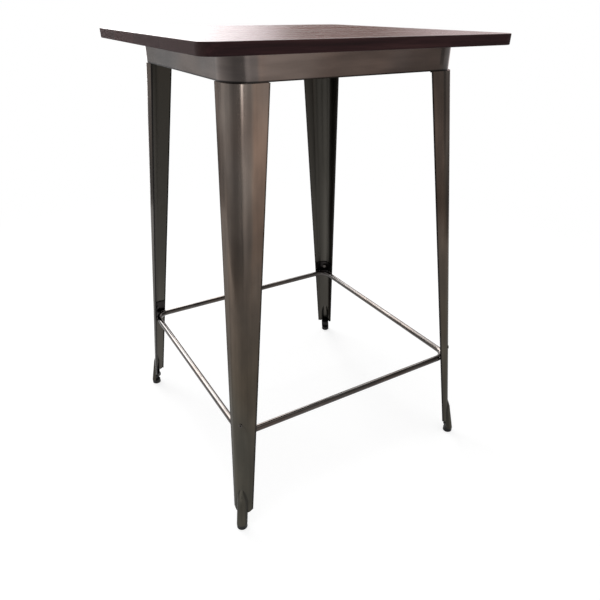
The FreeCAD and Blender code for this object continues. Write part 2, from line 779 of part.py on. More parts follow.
board_count = int(measure("board_count"))
pieces = [make_board(number, board_count) for number in range(board_count)]
pieces.append(make_apron(board_count))
for corner, turn in CORNERS.items():
    pieces.append(make_leg(corner, turn + DIAGONAL))
    pieces.append(make_glide(corner, turn + DIAGONAL))
    pieces.append(make_tab(corner, turn + DIAGONAL))
    pieces.append(make_brace(corner, turn))
pieces.append(make_rail())
pieces.extend(make_leg_hardware())
pieces.extend(make_rail_hardware())
pieces.append(make_top_screws(board_count))
doc.recompute()
check(pieces)

os.makedirs("parts", exist_ok=True)
for piece in pieces:
    piece.Shape.exportStep(f"parts/{piece.Label}.step")
    solids = len(piece.Shape.Solids)
    print(f"{piece.Label}: {solids} solid(s), {piece.Shape.Volume / 1000:.1f} cm3")
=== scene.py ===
# %% [markdown]
# # A bar-height pub table
# The table stands at bar height: a dark stained top of four glued boards on a pressed steel frame with
# splayed legs and a foot rail. The solids come from the CAD model, so this file gives them their
# finishes, adds the small welds of the foot rail, and sets up a photographer's studio round them.

# %% Load the solids
import math

import bmesh
import bpy
from mathutils import Matrix, Vector


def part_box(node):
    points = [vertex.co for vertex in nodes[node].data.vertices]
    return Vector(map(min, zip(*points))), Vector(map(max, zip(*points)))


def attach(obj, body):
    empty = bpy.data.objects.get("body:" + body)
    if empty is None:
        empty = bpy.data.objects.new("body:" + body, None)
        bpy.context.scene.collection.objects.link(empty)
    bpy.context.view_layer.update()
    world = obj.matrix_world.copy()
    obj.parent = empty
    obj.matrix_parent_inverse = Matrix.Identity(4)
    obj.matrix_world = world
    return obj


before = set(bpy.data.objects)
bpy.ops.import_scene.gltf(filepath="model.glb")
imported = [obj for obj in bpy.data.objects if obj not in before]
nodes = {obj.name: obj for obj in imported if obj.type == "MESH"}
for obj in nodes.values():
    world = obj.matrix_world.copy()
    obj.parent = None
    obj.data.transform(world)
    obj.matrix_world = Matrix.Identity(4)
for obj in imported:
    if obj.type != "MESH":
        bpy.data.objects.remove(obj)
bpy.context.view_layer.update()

# %% [markdown]
# ## Where the camera stands
# The picture was taken from just above the level of the top, looking down at one corner. A camera can
# be aimed with an empty and a constraint. Here its three axes are written out from a heading, a tilt
# and a slight lean, because these can be measured on a picture and typed in as they are.

# %% Aim the camera
CAMERA_PLACE = (-0.6491, -1.1483, 1.0953)
HEADING = math.radians(31.044)
TILT = math.radians(-32.631)
LEAN = math.radians(0.263)

camera_data = bpy.data.cameras.new("camera")
camera = bpy.data.objects.new("camera", camera_data)
bpy.context.scene.collection.objects.link(camera)
bpy.context.scene.camera = camera

ahead = Vector((math.sin(HEADING) * math.cos(TILT), math.cos(HEADING) * math.cos(TILT), math.sin(TILT)))
level_right = Vector((math.cos(HEADING), -math.sin(HEADING), 0))
level_up = level_right.cross(ahead)
right = level_right * math.cos(LEAN) + level_up * math.sin(LEAN)
up = level_up * math.cos(LEAN) - level_right * math.sin(LEAN)
turn = Matrix((right, up, -ahead)).transposed()
camera.matrix_world = Matrix.Translation(CAMERA_PLACE) @ turn.to_4x4()
print(f"camera {camera.location.z:.2f} m up, looking {-math.degrees(TILT):.0f} degrees down")

# %% [markdown]
# ## The lens
# How much of the room a picture takes in depends on the lens and on the width of the sensor behind it.
# This picture is also cropped off its middle. The camera could be turned to follow the crop, but that
# would change the slant of the legs. Blender can slide the frame instead, as a view camera does.

# %% Lens
PICTURE_SIDE = 600
SENSOR_WIDTH = 36
LENS_IN_PIXELS = 520.13
MIDDLE_ACROSS = 304.85
MIDDLE_DOWN = 339.55

camera_data.sensor_width = SENSOR_WIDTH
camera_data.lens = LENS_IN_PIXELS / PICTURE_SIDE * SENSOR_WIDTH
camera_data.shift_x = (PICTURE_SIDE / 2 - MIDDLE_ACROSS) / PICTURE_SIDE
camera_data.shift_y = (MIDDLE_DOWN - PICTURE_SIDE / 2) / PICTURE_SIDE
print(f"lens {camera_data.lens:.1f} mm, frame slid by {camera_data.shift_y:.3f}")

# %% [markdown]
# ## A short way to write node trees
# A finish in Blender is a tree of shader nodes. It can be wired by hand in the editor, or in code,
# where each node takes several lines. One helper here adds a node, sets its options and feeds its
# sockets, so that a finish reads from top to bottom like a recipe.

# %% Add a node
def feed(tree, socket, value):
    """Join a wire to a socket, or write a plain value into it."""
    if isinstance(value, bpy.types.NodeSocket):
        tree.links.new(value, socket)
    else:
        socket.default_value = value


def add_node(tree, kind, inputs=None, **settings):
    made = tree.nodes.new(f"ShaderNode{kind}")
    for name, value in settings.items():
        setattr(made, name, value)
    for socket, value in (inputs or {}).items():
        feed(tree, made.inputs[socket], value)
    return made


def math_node(tree, operation, *numbers):
    """Arithmetic on wires and plain numbers."""
    return add_node(tree, "Math", dict(enumerate(numbers)), operation=operation).outputs[0]


print("nodes can be added, fed and used for arithmetic")

# %% [markdown]
# ## Steps, ramps and blends
# Most finishes go from one tone to another over a short distance: stain at a worn edge, lacquer towards
# a foot. A hard switch would look cut out with scissors, so every step here is eased. A ramp turns a
# number into a colour, and a blend lays one colour over another through a mask.

# %% Steps, ramps and blends
MIX_COLOUR_SOCKETS = (6, 7)
MIX_COLOUR_RESULT = 2


def smooth_range(tree, value, start, end, low=0.0, high=1.0):
    """Low up to start, high from end on, and a soft step between."""
    made = add_node(tree, "MapRange", {
        "Value": value, "From Min": start, "From Max": end, "To Min": low, "To Max": high,
    }, interpolation_type="SMOOTHSTEP")
    return made.outputs[0]


def ramp(tree, factor, stops):
    """A colour ramp: each stop is a place and a colour or a grey."""
    made = add_node(tree, "ValToRGB", {"Fac": factor})
    elements = made.color_ramp.elements
    while len(elements) < len(stops):
        elements.new(0.5)
    for element, (place, colour) in zip(elements, stops):
        element.position = place
        element.color = (*colour, 1) if isinstance(colour, tuple) else (colour, colour, colour, 1)
    return made.outputs["Color"]


def blend(tree, factor, first, second, way="MIX"):
    """Two colours, each a wire or three numbers, mixed by a factor."""
    made = add_node(tree, "Mix", {"Factor": factor}, data_type="RGBA", blend_type=way)
    for socket, colour in zip(MIX_COLOUR_SOCKETS, (first, second)):
        feed(tree, made.inputs[socket], (*colour, 1) if isinstance(colour, tuple) else colour)
    return made.outputs[MIX_COLOUR_RESULT]


print("colours can be stepped, ramped and blended")

# %% [markdown]
# ## Where a point is on the table
# A pattern has to know where it is. Generated coordinates stretch with each piece, and unwrapped ones
# need seams. All the solids keep their place in their own meshes, so object coordinates are one set of
# metres for the whole table, and a height or a distance from the middle means the same on every piece.

# %% Places and directions
def table_spot(tree):
    """A point in the table's own frame, in metres."""
    return add_node(tree, "TexCoord").outputs["Object"]


def table_parts(tree):
    """The same point as three separate numbers."""
    return add_node(tree, "SeparateXYZ", {0: table_spot(tree)}).outputs


def facing(tree):
    """The direction that a face looks in, as three numbers."""
    normal = add_node(tree, "NewGeometry").outputs["True Normal"]
    return add_node(tree, "SeparateXYZ", {0: normal}).outputs


print("points and directions are read in the table's frame")

# %% [markdown]
# ## The floor
# In the studio the table stands on white paper. A paper roll could be bent up behind it, but a flat
# sheet that turns plain white further out looks the same and is simpler.

# %% Floor sheet
FLOOR_SIDE = 5.2
half_side = FLOOR_SIDE / 2
sheet_corners = [(x * half_side, y * half_side, 0) for x, y in ((-1, -1), (1, -1), (1, 1), (-1, 1))]

floor_mesh = bpy.data.meshes.new("studio_floor")
floor_mesh.from_pydata(sheet_corners, [], [(0, 1, 2, 3)])
floor = bpy.data.objects.new("studio_floor", floor_mesh)
bpy.context.scene.collection.objects.link(floor)
print(f"floor {FLOOR_SIDE} m square")

# %% [markdown]
# ## Paper that keeps a shadow
# Paper that was lit until it looked white would throw so much light back that the legs washed out. So
# the paper itself is a mid grey that takes the shadow, and a glow that only the camera and mirrors can
# see makes it pale. In mirrors the glow is weaker towards the front, away from the window, as real
# paper would be, and stronger in a spot under the left side, where the window's light falls.

# %% Paper
PAPER_GREY = 0.42
NEAR_GLOW = 0.70
PLAIN_WHITE_FROM = 0.9
FRONT_TO_MIDDLE = (-1.6, 0.4)
FRONT_FLOOR_SHADE = 0.60
LIT_SPOT = (-0.30, 0.08, 0)
LIT_REACH = (0.50, 0.15)
LIT_GAIN = 1.7


def new_material(name):
    material = bpy.data.materials.new(name)
    material.use_nodes = True
    return material, material.node_tree, material.node_tree.nodes["Principled BSDF"]


def ray_kinds(tree):
    """Which rays come from the camera, and which from a mirror or through glass."""
    rays = add_node(tree, "LightPath").outputs
    mirrored = math_node(tree, "MAXIMUM", rays["Is Glossy Ray"], rays["Is Transmission Ray"])
    return rays["Is Camera Ray"], mirrored


paper, tree, shader = new_material("studio_paper")
tree.nodes.remove(shader)
from_camera, from_mirror = ray_kinds(tree)
mirror_shade = smooth_range(tree, table_parts(tree)["Y"], *FRONT_TO_MIDDLE, FRONT_FLOOR_SHADE, 1.0)
lit_gap = add_node(tree, "VectorMath", {0: table_spot(tree), 1: LIT_SPOT}, operation="DISTANCE")
lit = smooth_range(tree, lit_gap.outputs["Value"], *LIT_REACH, 1.0, LIT_GAIN)
mirrored = math_node(tree, "MULTIPLY", from_mirror, math_node(tree, "MULTIPLY", mirror_shade, lit))
seen = math_node(tree, "MAXIMUM", from_camera, mirrored)
away = add_node(tree, "VectorMath", {0: table_spot(tree)}, operation="LENGTH").outputs["Value"]
far = smooth_range(tree, away, PLAIN_WHITE_FROM, half_side)
matt = add_node(tree, "BsdfDiffuse", {"Color": (PAPER_GREY, PAPER_GREY, PAPER_GREY, 1)})
near_glow = add_node(tree, "Emission", {"Strength": math_node(tree, "MULTIPLY", seen, NEAR_GLOW)})
near = add_node(tree, "AddShader", {0: matt.outputs[0], 1: near_glow.outputs[0]})
far_glow = add_node(tree, "Emission", {"Strength": seen})
both = add_node(tree, "MixShader", {0: far, 1: near.outputs[0], 2: far_glow.outputs[0]})
tree.links.new(both.outputs[0], tree.nodes["Material Output"].inputs["Surface"])
floor_mesh.materials.append(paper)
print(f"paper keeps a shadow up to {PLAIN_WHITE_FROM} m and is white from {half_side} m")

# %% [markdown]
# ## The tones of the walls
# Polished steel and lacquer have little colour of their own: they show the room. The room could be
# built from lamps and boards, or taken from a photographed panorama. Two rings of tones are lighter
# than either and easy to tune. The low ring lies near the horizon: it glares on the top and shows on
# the legs and the apron. The high ring is brightest towards the window, and glares on the rails that
# run that way.

# %% Wall tones
WINDOW_WHITE = (4.0, 4.0, 4.0)
WARM = (1.06, 0.93, 0.85)
ROSE = (0.18, 0.09, 0.06)
LOW_WALLS = [
    (0, WINDOW_WHITE), (9, WINDOW_WHITE), (17, (2.5, 2.4, 2.4)), (25, (1.4, 1.22, 1.24)), (30, ROSE),
    (38, ROSE), (45, (0.77, 0.60, 0.59)), (57, (1.0, 0.85, 0.85)), (75, 0.35), (112, 0.35),
    (121, (0.52, 0.49, 0.45)), (131, (0.50, 0.46, 0.42)), (141, (0.33, 0.285, 0.27)),
    (147, (0.72, 0.62, 0.56)), (152, WARM), (162, WARM), (172, 0.74), (192, 0.74), (199, 0.90), (208, 0.90),
    (215, 0.34), (250, 0.32), (290, 0.60), (320, 0.85), (334, 0.98), (341, 0.44), (349, 0.24), (354, 0.6),
    (360, WINDOW_WHITE),
]
HIGH_WALLS = [
    (0, 16.0), (12, 16.0), (22, 9.0), (34, 3.6), (42, 3.6), (56, 4.0), (66, 0.22), (108, 0.20), (144, 0.40),
    (198, 0.50), (270, 0.50), (318, 1.0), (338, 16.0), (360, 16.0),
]


def wall_ring(tree, lap, stops):
    """Brightness round the room, each stop an angle clockwise from the back wall's middle."""
    colours = [(level if isinstance(level, tuple) else (level, level, level)) for _, level in stops]
    peak = max(max(colour) for colour in colours)
    shares = [
        (angle / 360, tuple(part / peak for part in colour)) for (angle, _), colour in zip(stops, colours)
    ]
    scaled = add_node(tree, "VectorMath", {0: ramp(tree, lap, shares), "Scale": peak}, operation="SCALE")
    return scaled.outputs[0]


print(f"{len(LOW_WALLS)} tones in the low ring, {len(HIGH_WALLS)} in the high ring")

# %% [markdown]
# ## Two doorways
# The rounded front of the nearest leg has a short glint just under the apron, and the leg on the right
# is darkest there. Both could be painted on the steel, but then they would stay in place in other
# views. A leg leans, so its head mirrors higher parts of the room than its middle does. A doorway with
# a sill, cut into the low ring, therefore shows near the head alone: one is narrow and bright, the
# other wide and dark.

# %% Doorways
DOORWAYS = [
    {"left": (207, 212), "right": (221, 216), "sill": (0.08, 0.18), "level": 6.0},
    {"left": (112, 117), "right": (138, 133), "sill": (-0.14, -0.07), "level": 0.15},
]


def cut_doorways(tree, walls, lap, height):
    for doorway in DOORWAYS:
        opening = smooth_range(tree, height, *doorway["sill"])
        for side in ("left", "right"):
            edge = smooth_range(tree, lap, *(angle / 360 for angle in doorway[side]))
            opening = math_node(tree, "MULTIPLY", opening, edge)
        walls = blend(tree, opening, walls, (doorway["level"],) * 3)
    return walls


print(f"{len(DOORWAYS)} doorways")

# %% [markdown]
# ## The room
# The rings go on the world, the endless sphere round the scene, joined one above the other with a grey
# ceiling on top. Only mirrored rays see them. The camera sees white, and everything else gets an even,
# weak fill, so the walls can be tuned for the steel without changing how the wood is lit.

# %% Room
FILL = 0.40
FAR_FLOOR_SHADE = 0.65
HORIZON = (-0.125, -0.085)
LOW_TO_HIGH = (0.28, 0.46)
CEILING_RISE = (0.80, 0.94)
CEILING_GREY = (0.5, 0.5, 0.5)

world = bpy.data.worlds.new("studio")
bpy.context.scene.world = world
world.use_nodes = True
tree = world.node_tree
from_camera, from_mirror = ray_kinds(tree)
towards = add_node(tree, "SeparateXYZ", {0: add_node(tree, "TexCoord").outputs["Generated"]}).outputs
bearing = math_node(tree, "ARCTAN2", towards["X"], towards["Y"])
lap = math_node(tree, "FRACT", math_node(tree, "DIVIDE", bearing, 2 * math.pi))
far_floor = smooth_range(tree, towards["Z"], *HORIZON, FAR_FLOOR_SHADE, 1.0)
low_ring = wall_ring(tree, lap, LOW_WALLS)
high_ring = wall_ring(tree, lap, HIGH_WALLS)
low = add_node(tree, "VectorMath", {0: low_ring, "Scale": far_floor}, operation="SCALE").outputs[0]
walls = cut_doorways(tree, low, lap, towards["Z"])
walls = blend(tree, smooth_range(tree, towards["Z"], *LOW_TO_HIGH), walls, high_ring)
room = blend(tree, smooth_range(tree, towards["Z"], *CEILING_RISE), walls, CEILING_GREY)
level = blend(tree, from_mirror, (FILL, FILL, FILL), room)
level = blend(tree, from_camera, level, (1, 1, 1))
tree.links.new(level, tree.nodes["Background"].inputs["Color"])
print(f"room ready, fill {FILL}")

# %% [markdown]
# ## Lamps
# A sun would cut hard shadows, so both lamps are wide areas, like a window and a lit ceiling. The
# window behind the table is hidden from mirrors, because the walls already give the glare, and the lamp
# only has to light the top and send the shadow forwards. The ceiling lifts the front.

# %% Lamps
def area_lamp(name, place, target, width, height, power):
    data = bpy.data.lights.new(name, "AREA")
    data.shape = "RECTANGLE"
    data.size = width
    data.size_y = height
    data.energy = power
    lamp = bpy.data.objects.new(name, data)
    lamp.location = place
    lamp.rotation_euler = (Vector(target) - Vector(place)).to_track_quat("-Z", "Y").to_euler()
    lamp.visible_camera = False
    bpy.context.scene.collection.objects.link(lamp)
    return lamp


window = area_lamp("window", (-0.45, 3.0, 2.7), (-0.45, 0, 2.7), width=3.0, height=2.4, power=90)
window.visible_glossy = False
ceiling = area_lamp("ceiling", (-0.4, -0.4, 3.2), (0, 0, 0), width=3.0, height=3.0, power=45)
for lamp in (window, ceiling):
    print(f"{lamp.name}: {lamp.data.energy:.0f} W")

# %% [markdown]
# ## Grain
# The boards lie with their grain from side to side. Grain can be taken from a picture of wood, but a
# picture has to be unwrapped and repeats itself. Noise drawn out along the boards follows every face by
# itself. A slow noise gives the figure, a fast one the fibres, a third one bands of thicker and thinner
# lacquer, and short grains the pores that show where a board is cut across.

# %% Grain
def noise(tree, spot, scale, size, detail=4.0, roughness=0.55, shift=(0, 0, 0)):
    """Noise in metres, drawn out along the axes whose scale is small."""
    place = add_node(tree, "Mapping", {"Vector": spot, "Scale": scale, "Location": shift})
    made = add_node(tree, "TexNoise", {
        "Vector": place.outputs[0], "Scale": size, "Detail": detail, "Roughness": roughness,
    })
    return made.outputs["Fac"]


def board_patterns(tree, shift):
    spot = table_spot(tree)
    offset = (shift, shift * 3.1, shift * 1.7)
    return {
        "figure": noise(tree, spot, (1.3, 30, 30), 3.2, detail=6, roughness=0.62, shift=offset),
        "fibre": noise(tree, spot, (5, 260, 260), 3.0, detail=3, roughness=0.6, shift=offset),
        "bands": noise(tree, spot, (0.8, 60, 60), 2.0, detail=4, roughness=0.6, shift=offset),
        "pores": noise(tree, spot, (90, 420, 420), 1.6, detail=2, shift=offset),
    }


print("grain runs along X")

# %% [markdown]
# ## Stain
# The stain is nearly black-brown with a trace of red, darker where the wood drinks more of it. Each
# board takes it differently, so the colours of the ramps are multiplied by a tone of the board's own.
# On the end faces, which look sideways, the pores take over from the long grain.

# %% Stain
FIGURE_BROWNS = [
    (0.28, (0.015, 0.0045, 0.0052)), (0.50, (0.034, 0.0110, 0.0124)), (0.72, (0.068, 0.0270, 0.0270)),
]
END_BROWNS = [(0.35, (0.023, 0.0100, 0.0098)), (0.65, (0.052, 0.0235, 0.0228))]
FIBRE_GREYS = [(0.30, 0.35), (0.65, 1.0)]
FIBRE_SHARE = 0.45
END_TURN = (0.6, 0.85)


def in_tone(browns, tone):
    return [(place, tuple(part * share for part, share in zip(brown, tone))) for place, brown in browns]


def stain(tree, patterns, tone):
    along = ramp(tree, patterns["figure"], in_tone(FIGURE_BROWNS, tone))
    streaked = blend(tree, FIBRE_SHARE, along, ramp(tree, patterns["fibre"], FIBRE_GREYS), "MULTIPLY")
    across = ramp(tree, patterns["pores"], in_tone(END_BROWNS, tone))
    end_face = smooth_range(tree, math_node(tree, "ABSOLUTE", facing(tree)["X"]), *END_TURN)
    return blend(tree, end_face, streaked, across)


print(f"{len(FIGURE_BROWNS)} browns along the grain, {len(END_BROWNS)} across it")

# %% [markdown]
# ## Worn edges and glue lines
# The edges of the top are eased, and there the stain has worn thin along the fibres. Between two boards
# runs a hair of dark glue. Both could be thin pieces of mesh, but they have no thickness to speak of,
# so they are masks: one from the slope of the face, the other from the distance to the nearest joint.

# %% Edges and joints
JOINTS = [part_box(f"top_board_{number}")[1].y for number in (1, 2, 3)]
WORN_BROWN = (0.085, 0.045, 0.040)
WORN_FROM = (0.20, 0.45)
WORN_UNTIL = (0.95, 0.75)
GLUE_BLACK = (0.004, 0.0022, 0.0020)
GLUE_WIDTH = (0.0009, 0.0004)


def worn_edge(tree, fibre):
    slope = facing(tree)["Z"]
    eased = math_node(
        tree, "MULTIPLY", smooth_range(tree, slope, *WORN_FROM), smooth_range(tree, slope, *WORN_UNTIL),
    )
    return math_node(tree, "MULTIPLY", eased, fibre)


def glue_line(tree):
    depth = table_parts(tree)["Y"]
    first, second, third = (
        math_node(tree, "ABSOLUTE", math_node(tree, "SUBTRACT", depth, joint)) for joint in JOINTS
    )
    nearest = math_node(tree, "MINIMUM", math_node(tree, "MINIMUM", first, second), third)
    return smooth_range(tree, nearest, *GLUE_WIDTH)


print("joints at", [round(joint, 4) for joint in JOINTS])

# %% [markdown]
# ## Lacquered boards
# The top face has a clear lacquer that mirrors the window, thicker in some bands than in others, while
# the edges are left nearly matt. One roughness for the whole board would lose that, so it comes from
# the bands on top and from the fibres on the edges. The fibres and the glue lines also make a shallow
# relief.

# %% Boards
BOARD_TONES = [
    ((1.00, 1.00, 1.00), 0.0),
    ((0.86, 0.74, 0.76), 0.37),
    ((1.20, 1.04, 1.06), 0.71),
    ((0.95, 0.86, 0.88), 1.13),
]
TOP_TURN = (0.4, 0.9)
TOP_ROUGHNESS = (0.18, 0.33)
EDGE_ROUGHNESS = 0.72
GLUE_DEPTH = 0.8


def set_shader(tree, shader, **values):
    for name, value in values.items():
        feed(tree, shader.inputs[name.replace("_", " ")], value)


def dress(node_name, material):
    slots = nodes[node_name].data.materials
    slots.clear()
    slots.append(material)


def stained_board(number, tone, shift):
    material, tree, shader = new_material(f"stained_board_{number}")
    patterns = board_patterns(tree, shift)
    fibre = patterns["fibre"]
    glue = glue_line(tree)
    worn = blend(tree, worn_edge(tree, fibre), stain(tree, patterns, tone), WORN_BROWN)
    colour = blend(tree, glue, worn, GLUE_BLACK)
    height = math_node(tree, "SUBTRACT", fibre, math_node(tree, "MULTIPLY", glue, GLUE_DEPTH))
    relief = add_node(tree, "Bump", {"Strength": 0.12, "Distance": 0.0006, "Height": height})
    upward = smooth_range(tree, facing(tree)["Z"], *TOP_TURN)
    matt_edge = math_node(tree, "MULTIPLY_ADD", fibre, -0.10, EDGE_ROUGHNESS)
    lacquered = smooth_range(tree, patterns["bands"], 0.32, 0.68, *TOP_ROUGHNESS)
    gloss = add_node(tree, "Mix", {0: upward, 2: matt_edge, 3: lacquered}, data_type="FLOAT").outputs[0]
    set_shader(
        tree, shader, Base_Color=colour, Roughness=gloss, Specular_IOR_Level=0.22, Normal=relief.outputs[0],
        Coat_Weight=math_node(tree, "MULTIPLY", upward, 0.15), Coat_Roughness=0.18,
    )
    return material


for number, (tone, shift) in enumerate(BOARD_TONES, start=1):
    dress(f"top_board_{number}", stained_board(number, tone, shift))
print(f"{len(BOARD_TONES)} boards stained and lacquered")

# %% [markdown]
# ## Inside and outside of the sheet
# The legs and the apron are pressed from sheet, polished outside and dull inside, and the inside is
# painted darker as shade of the hollow. The two sides could be given two materials, face by face, but
# that would mean editing the solids' meshes. A face that looks away from the middle of the table is
# outside, so its direction times its place tells them apart.

# %% Inside mask
INSIDE_TURN = (-0.03, -0.10)


def outward(tree):
    """How far a face looks away from the table's middle: below zero inside the pressed sheet."""
    spot = table_parts(tree)
    look = facing(tree)
    front_to_back = math_node(tree, "MULTIPLY", spot["Y"], look["Y"])
    return math_node(tree, "MULTIPLY_ADD", spot["X"], look["X"], front_to_back)


def inside_mask(tree):
    return smooth_range(tree, outward(tree), *INSIDE_TURN)


print(f"inside from {INSIDE_TURN[1]} on")

# %% [markdown]
# ## Smoky lacquer
# The frame is brushed steel under a smoky, see-through lacquer: faint streaks run along the sheet,
# brown tints come and go slowly, and patches of thick and thin lacquer lie over both. One noise could
# not do all three, because they differ in size, so the colours are multiplied one after the other.

# %% Lacquer colour
CLOUD_STRETCH = (3.0, 3.0, 1.6)
CLOUD_TURN = (0.35, 0.70)
BROWN_TINT = (1.0, 0.84, 0.74)
BROWN_SHARE = 0.7
LACQUER_PATCHES = [(0.32, (0.80, 0.79, 0.80)), (0.68, (1.14, 1.11, 1.10))]


def lacquer_colour(tree, brushed, mottle, dark, light):
    steel = ramp(tree, brushed, [(0.30, dark), (0.70, light)])
    cloud = noise(tree, table_spot(tree), CLOUD_STRETCH, 2.0, detail=2)
    clouded = smooth_range(tree, cloud, *CLOUD_TURN, 0.0, BROWN_SHARE)
    brown = blend(tree, clouded, steel, BROWN_TINT, "MULTIPLY")
    return blend(tree, 1.0, brown, ramp(tree, mottle, LACQUER_PATCHES), "MULTIPLY")


print("lacquer mixed")

# %% [markdown]
# ## Gunmetal
# Metal is a shader with its metallic value at one and a thin clear coat. Real pressed sheet is never
# quite flat, and a perfect mirror looks like plastic film, so a slow bump makes the reflections waver
# and a fine one follows the brushing. Every steel piece uses this one recipe with its own streaks,
# tones and patches.

# %% Gunmetal
BRUSHED_ROUGHNESS = 0.12
INSIDE_ROUGHNESS = 0.30


def sheet_relief(tree, waves, brushed, wave, streak):
    sheet = add_node(tree, "Bump", {"Strength": wave, "Distance": 0.005, "Height": waves})
    fine = add_node(tree, "Bump", {
        "Strength": streak, "Distance": 0.0004, "Height": brushed, "Normal": sheet.outputs[0],
    })
    return fine.outputs[0]


def gunmetal(name, spot_of, stretch, dark, light, shade_of=None, patches=(9, 9, 9),
             wave=0.25, streak=0.04, satin=0.12, rim_light=1.0):
    material, tree, shader = new_material(name)
    brushed = noise(tree, spot_of(tree), stretch, 2.2, detail=5, roughness=0.6)
    mottle = noise(tree, spot_of(tree), patches, 2.0, detail=3)
    waves = noise(tree, spot_of(tree), patches, 1.5, detail=1, shift=(3, 5, 7))
    colour = lacquer_colour(tree, brushed, mottle, dark, light)
    polish = math_node(tree, "MULTIPLY_ADD", brushed, BRUSHED_ROUGHNESS, satin)
    dull = math_node(tree, "MULTIPLY", inside_mask(tree), INSIDE_ROUGHNESS)
    set_shader(
        tree, shader, Base_Color=shade_of(tree, colour) if shade_of else colour, Metallic=1.0,
        Normal=sheet_relief(tree, waves, brushed, wave, streak),
        Roughness=math_node(tree, "MAXIMUM", polish, dull), Coat_Weight=0.12, Coat_Roughness=0.06,
        Specular_Tint=(rim_light, rim_light, rim_light, 1),
    )
    return material


print("gunmetal recipe ready")

# %% [markdown]
# ## Painted shade on the legs
# The legs are darker and a little green towards the floor: this is painted shade, standing in for the
# darker reflections low on a leg. A nearly black line of painted shade runs along the folded edges. The
# streaks lean with the leg: a point is measured along the leaning leg, with both sides folded together,
# so one recipe serves all four.

# %% Leg shade
LEG_LEAN = 0.0966
# Painted shade: the legs darken and turn a little green towards the floor.
LEG_SHADE_TOWARDS_FLOOR = [(0.06, (0.27, 0.30, 0.275)), (0.42, (0.38, 0.40, 0.365)), (0.86, 1.0)]
# Painted shade on the inside faces of the leg's hollow.
LEG_INSIDE_SHADE = (0.052, 0.048, 0.041)
# Painted shade: a nearly black line along the folded edges.
RIM_PAINTED_SHADE = (0.016, 0.014, 0.013)
RIM_WIDTH = (0.0055, 0.0015)
RAIL_HEIGHT = 0.2717
EDGE_AT_RAIL = 0.2842
EDGE_TAPER = -0.1392


def folded_sides(tree, spot):
    """Distances to the right and to the back, the same on all four corners."""
    return [math_node(tree, "ABSOLUTE", spot[axis]) for axis in "XY"]


def leg_spot(tree):
    spot = table_parts(tree)
    rise = math_node(tree, "MULTIPLY", spot["Z"], LEG_LEAN)
    sides = [math_node(tree, "ADD", side, rise) for side in folded_sides(tree, spot)]
    return add_node(tree, "CombineXYZ", {0: sides[0], 1: sides[1], 2: spot["Z"]}).outputs[0]


def leg_painted_shade(tree, colour):
    spot = table_parts(tree)
    # Painted shade: darker and greener towards the floor, and darker on the inside faces.
    shaded = blend(tree, 1.0, colour, ramp(tree, spot["Z"], LEG_SHADE_TOWARDS_FLOOR), "MULTIPLY")
    shaded = blend(tree, inside_mask(tree), shaded, LEG_INSIDE_SHADE)
    inward = math_node(tree, "MINIMUM", *folded_sides(tree, spot))
    edge = math_node(tree, "MULTIPLY_ADD", spot["Z"], EDGE_TAPER, EDGE_AT_RAIL - EDGE_TAPER * RAIL_HEIGHT)
    # Painted shade along the folded edges of each leg.
    rim = smooth_range(tree, math_node(tree, "SUBTRACT", inward, edge), *RIM_WIDTH)
    return blend(tree, rim, shaded, RIM_PAINTED_SHADE)


print(f"legs lean {math.degrees(math.atan(LEG_LEAN)):.1f} degrees each way")

# %% [markdown]
# ## Painted shade and highlight on the foot's rib
# Near the floor a half-round rib grows out of each leg's corner and becomes the foot. Dark lines of
# painted shade run in the two hollows beside it, and a painted highlight lies on its crest where it
# begins. The rib itself is in the solid, so only the painted shade and highlight are drawn, from the
# height and from the distance to the corner's diagonal.

# %% Rib shade and highlight
RIB_TOP = 0.116
RIB_SPREAD = 0.036
RIB_HALF_WIDTH = 0.013
RIB_BEGINS = (RIB_TOP + 0.002, RIB_TOP - 0.004)
# Where the painted highlight on the rib's crest fades out.
CREST_HIGHLIGHT_ENDS = (RIB_TOP - 0.040, RIB_TOP - 0.020)
# Painted shade in the two hollows beside the rib.
HOLLOW_PAINTED_SHADE = (0.012, 0.011, 0.010)
HOLLOW_WIDTH = (0.0034, 0.0008)
HOLLOW_SHADE_STRENGTH = 0.55
CREST_WIDTH = (0.0050, 0.0010)
# Painted highlight on the crest where the rib begins.
CREST_PAINTED_HIGHLIGHT = (1.45, 1.45, 1.45)


def sideways(tree):
    """Distance from the diagonal plane through a corner, the same on all four."""
    apart = math_node(tree, "SUBTRACT", *folded_sides(tree, table_parts(tree)))
    return math_node(tree, "MULTIPLY", math_node(tree, "ABSOLUTE", apart), math.sqrt(0.5))


def rib_shade_and_highlight(tree, colour):
    height = table_parts(tree)["Z"]
    aside = sideways(tree)
    below = smooth_range(tree, height, *RIB_BEGINS)
    grown = add_node(tree, "MapRange", {
        "Value": height, "From Min": RIB_TOP, "From Max": RIB_TOP - RIB_SPREAD,
    })
    flank = math_node(tree, "MULTIPLY", math_node(tree, "SQRT", grown.outputs[0]), RIB_HALF_WIDTH)
    off_line = math_node(tree, "ABSOLUTE", math_node(tree, "SUBTRACT", aside, flank))
    # Painted shade: dark lines in the hollows along the rib's flanks.
    hollow = math_node(tree, "MULTIPLY", smooth_range(tree, off_line, *HOLLOW_WIDTH), below)
    lined = blend(tree, math_node(tree, "MULTIPLY", hollow, HOLLOW_SHADE_STRENGTH), colour, HOLLOW_PAINTED_SHADE)
    # Painted highlight: the crest is lightened where the rib begins.
    start = math_node(tree, "MULTIPLY", below, smooth_range(tree, height, *CREST_HIGHLIGHT_ENDS))
    crest = math_node(tree, "MULTIPLY", smooth_range(tree, aside, *CREST_WIDTH), start)
    return blend(tree, crest, lined, blend(tree, 1.0, colour, CREST_PAINTED_HIGHLIGHT, "MULTIPLY"))


print(f"rib marked from {RIB_TOP} m down")

